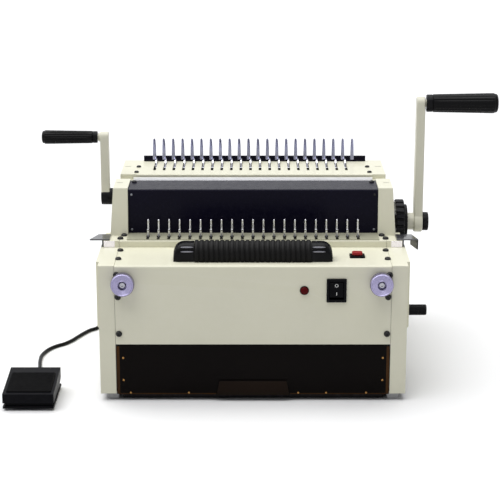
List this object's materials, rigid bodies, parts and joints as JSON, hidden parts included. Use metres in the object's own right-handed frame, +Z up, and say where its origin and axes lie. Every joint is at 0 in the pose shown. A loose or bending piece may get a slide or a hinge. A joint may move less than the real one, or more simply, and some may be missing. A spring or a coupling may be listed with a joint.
{
  "type": "comb binding machine",
  "caption": "Electric desktop punch and comb binder with two hand-cranked comb stations, a smoked chip drawer, a strap handle and a corded foot pedal.",
  "frame": {"origin": "on the floor under the middle of the whole outfit (machine, cranks and pedal), cord left out", "axes": "+X to the machine's right as its user faces it, +Y from the front panel to the back, +Z up"},
  "size_m": [0.6662, 0.5458, 0.3786],
  "materials": {
    "cream_paint": "fine-textured powder coat, satin",
    "grey_paint": "satin grey-cream paint",
    "black_paint": "smooth semi-gloss paint, almost black",
    "zinc_sheet": "zinc-plated sheet",
    "tool_steel": "ground steel",
    "bright_steel": "bright drawn steel",
    "chrome_finger": "bluish bright plating",
    "gear_brass": "cut brass",
    "bush_bronze": "sintered bronze",
    "motor_black": "matt motor paint",
    "smoked_acrylic": "smoked brown acrylic, polished",
    "screw_brass": "small brass screws",
    "knurled_steel": "turned and knurled, bright anodised",
    "black_screw": "black oxide",
    "lamp_red": "dark red translucent lens",
    "switch_black": "moulded black, glossy",
    "button_red": "moulded red, glossy",
    "strap_rubber": "ribbed black rubber",
    "handle_black": "moulded black, satin",
    "grip_black": "moulded black with lengthwise ribs",
    "foot_grey": "grey rubber",
    "board_green": "printed circuit board",
    "pedal_black": "moulded black",
    "pedal_rubber": "textured rubber pad",
    "cord_pvc": "black PVC sheath"
  },
  "bodies": {
    "chassis": {"base_plate": "zinc_sheet", "feet": "foot_grey", "side_frame_left": "zinc_sheet", "side_frame_right": "zinc_sheet", "side_cover_left": "cream_paint", "side_cover_right": "cream_paint", "front_cover": "cream_paint", "comb_plate": "grey_paint", "end_housing_left": "cream_paint", "end_housing_right": "cream_paint", "head_cover": "black_paint", "throat_deck": "cream_paint", "rear_deck": "cream_paint", "rear_cover": "cream_paint", "page_plate": "black_paint", "rear_fingers": "chrome_finger", "front_pins": "bright_steel", "die_block": "tool_steel", "pin_guide": "bright_steel", "gearmotor": "motor_black", "cover_screws": "black_screw", "pilot_lamp": "lamp_red", "switch_bezel": "switch_black", "button_bezel": "switch_black", "handle_caps": "handle_black", "paper_wing_left": "black_paint", "paper_wing_right": "black_paint", "crank_bushes": "bush_bronze", "power_inlet": "switch_black", "control_board": "board_green", "cord_gland": "handle_black", "pedal_base": "pedal_black", "cord_tube": "cord_pvc", "cord_coil": "cord_pvc"},
    "drawer": {"chip_drawer": "smoked_acrylic", "drawer_screws": "screw_brass"},
    "left_crank": {"left_crank_shaft": "black_paint", "left_arm": "cream_paint"},
    "left_grip": {"left_grip": "grip_black"},
    "rear_hook_bar": {"rear_hooks": "bright_steel"},
    "right_crank": {"right_crank_shaft": "cream_paint", "right_arm": "cream_paint", "right_cap": "handle_black"},
    "right_grip": {"right_grip": "grip_black"},
    "front_idler": {"front_idler": "gear_brass"},
    "front_hook_bar": {"front_hooks": "bright_steel"},
    "size_dial": {"size_dial": "handle_black"},
    "knob_left": {"knob_left": "knurled_steel"},
    "knob_right": {"knob_right": "knurled_steel"},
    "margin_knob": {"margin_knob": "handle_black"},
    "rocker": {"rocker": "switch_black"},
    "push_button": {"push_button": "button_red"},
    "handle_grip": {"handle_grip": "strap_rubber"},
    "cam_shaft": {"cam_shaft": "tool_steel", "drive_gear": "gear_brass"},
    "punch_ram": {"punch_ram": "tool_steel", "punch_pins": "tool_steel"},
    "motor_shaft": {"motor_gear": "gear_brass"},
    "treadle": {"pedal_treadle": "pedal_black", "pedal_pad": "pedal_rubber"}
  },
  "joints": [
    {"name": "drawer_slide", "type": "slide", "parent": "chassis", "child": "drawer", "axis": [0, -1, 0], "range_m": [0, 0.26]},
    {"name": "left_crank_turn", "type": "hinge", "parent": "chassis", "child": "left_crank", "pos_m": [-0.21905, 0.113, 0.208], "axis": [1, 0, 0], "range_deg": [0, 157.56]},
    {"name": "left_grip_spin", "type": "hinge", "parent": "left_crank", "child": "left_grip", "pos_m": [-0.26605, 0.113, 0.2965], "axis": [1, 0, 0], "continuous": true},
    {"name": "rear_hook_slide", "type": "slide", "parent": "chassis", "child": "rear_hook_bar", "axis": [0, -1, 0], "range_m": [0, 0.044]},
    {"name": "right_crank_turn", "type": "hinge", "parent": "chassis", "child": "right_crank", "pos_m": [0.22595, 0.013, 0.196], "axis": [1, 0, 0], "range_deg": [0, 105]},
    {"name": "right_grip_spin", "type": "hinge", "parent": "right_crank", "child": "right_grip", "pos_m": [0.28395, 0.013, 0.3646], "axis": [1, 0, 0], "continuous": true},
    {"name": "front_idler_spin", "type": "hinge", "parent": "chassis", "child": "front_idler", "pos_m": [0.18195, 0.013, 0.18], "axis": [1, 0, 0], "range_deg": [-105, 0]},
    {"name": "front_hook_slide", "type": "slide", "parent": "chassis", "child": "front_hook_bar", "axis": [0, -1, 0], "range_m": [0, 0.01466]},
    {"name": "size_dial_turn", "type": "hinge", "parent": "chassis", "child": "size_dial", "pos_m": [0.20195, 0.013, 0.196], "axis": [1, 0, 0], "range_deg": [0, 270]},
    {"name": "left_knob_turn", "type": "hinge", "parent": "chassis", "child": "knob_left", "pos_m": [-0.17545, -0.191, 0.1636], "axis": [0, -1, 0], "continuous": true},
    {"name": "right_knob_turn", "type": "hinge", "parent": "chassis", "child": "knob_right", "pos_m": [0.16095, -0.191, 0.1636], "axis": [0, -1, 0], "continuous": true},
    {"name": "margin_knob_turn", "type": "hinge", "parent": "chassis", "child": "margin_knob", "pos_m": [0.21395, -0.12, 0.107], "axis": [1, 0, 0], "range_deg": [0, 300]},
    {"name": "rocker_tilt", "type": "hinge", "parent": "chassis", "child": "rocker", "pos_m": [0.10295, -0.174, 0.153], "axis": [1, 0, 0], "range_deg": [0, 14]},
    {"name": "button_press", "type": "slide", "parent": "chassis", "child": "push_button", "axis": [0, 0, -1], "range_m": [0, 0.0025], "stiffness_N_per_m": 300, "springref_m": -0.003},
    {"name": "handle_lift", "type": "slide", "parent": "chassis", "child": "handle_grip", "axis": [0, 0, 1], "range_m": [0, 0.012]},
    {"name": "cam_turn", "type": "hinge", "parent": "chassis", "child": "cam_shaft", "pos_m": [-0.00605, 0.184, 0.206], "axis": [-1, 0, 0], "range_deg": [0, 180]},
    {"name": "ram_slide", "type": "slide", "parent": "chassis", "child": "punch_ram", "axis": [0, -1, 0], "range_m": [0, 0.012]},
    {"name": "motor_turn", "type": "hinge", "parent": "chassis", "child": "motor_shaft", "pos_m": [0.16395, 0.184, 0.162], "axis": [-1, 0, 0], "range_deg": [-150, 0]},
    {"name": "treadle_press", "type": "hinge", "parent": "chassis", "child": "treadle", "pos_m": [-0.29955, -0.144, 0.019], "axis": [1, 0, 0], "range_deg": [0, 3], "stiffness_Nm_per_rad": 0.4, "springref_deg": -11.46}
  ],
  "couplings": [
    {"joint": "rear_hook_slide", "follows": "left_crank_turn", "m_per_rad": 0.016},
    {"joint": "front_idler_spin", "follows": "right_crank_turn", "ratio": -1},
    {"joint": "front_hook_slide", "follows": "right_crank_turn", "m_per_rad": 0.008},
    {"joint": "cam_turn", "follows": "ram_slide", "rad_per_m": 261.8},
    {"joint": "motor_turn", "follows": "ram_slide", "rad_per_m": -218.17}
  ]
}
